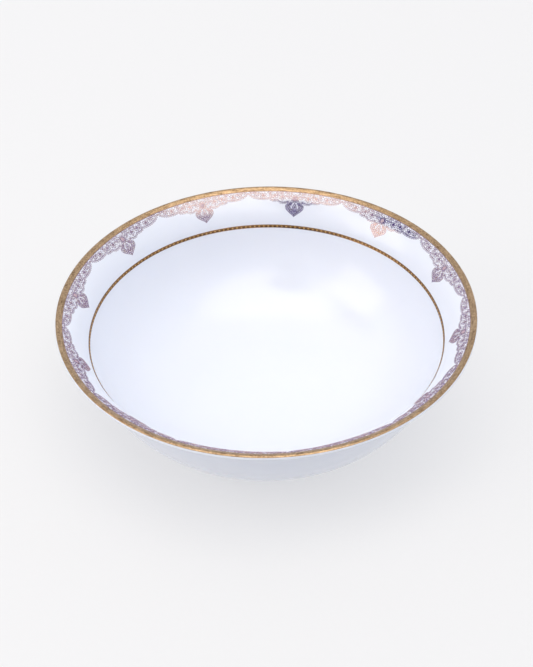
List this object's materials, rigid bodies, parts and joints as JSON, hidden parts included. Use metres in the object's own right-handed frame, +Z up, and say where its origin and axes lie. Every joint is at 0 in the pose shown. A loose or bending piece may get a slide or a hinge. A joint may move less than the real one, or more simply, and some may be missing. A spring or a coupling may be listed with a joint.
{
  "type": "serving bowl",
  "caption": "Porcelain serving bowl on a foot ring, with a flared gilded rim, a beaded gold line inside the shoulder and a border of lace pendants.",
  "frame": {"origin": "centre of the circle that the foot ring stands on, on the table plane", "axes": "+Z up along the bowl's axis; X and Y lie in the table plane, and the first lace pendant is 20 degrees from +X towards +Y"},
  "size_m": [0.23, 0.23, 0.07],
  "materials": {
    "china": "unglazed bone china biscuit",
    "glaze": "clear bright glaze over white china",
    "gold": "fired gold, burnished, with a fine etched texture",
    "gold_line": "fired gold line, bright",
    "gold_bead": "raised gold beading, satin",
    "lace": "metallic mauve lustre transfer in a lace filigree",
    "enamel": "rose enamel, glossy"
  },
  "bodies": {
    "root": {"bowl_body": "china", "foot_ring": "china", "glaze_coat": "glaze", "rim_gilding": "gold", "inner_gold_line": "gold_line", "inner_line_beads": "gold_bead", "lace_transfer_01": "lace", "lace_transfer_02": "lace", "lace_transfer_03": "lace", "lace_transfer_04": "lace", "lace_transfer_05": "lace", "lace_transfer_06": "lace", "lace_transfer_07": "lace", "lace_transfer_08": "lace", "lace_transfer_09": "lace", "lace_transfer_10": "lace", "lace_transfer_11": "lace", "lace_transfer_12": "lace", "rose_enamel_dots": "enamel"}
  },
  "joints": []
}
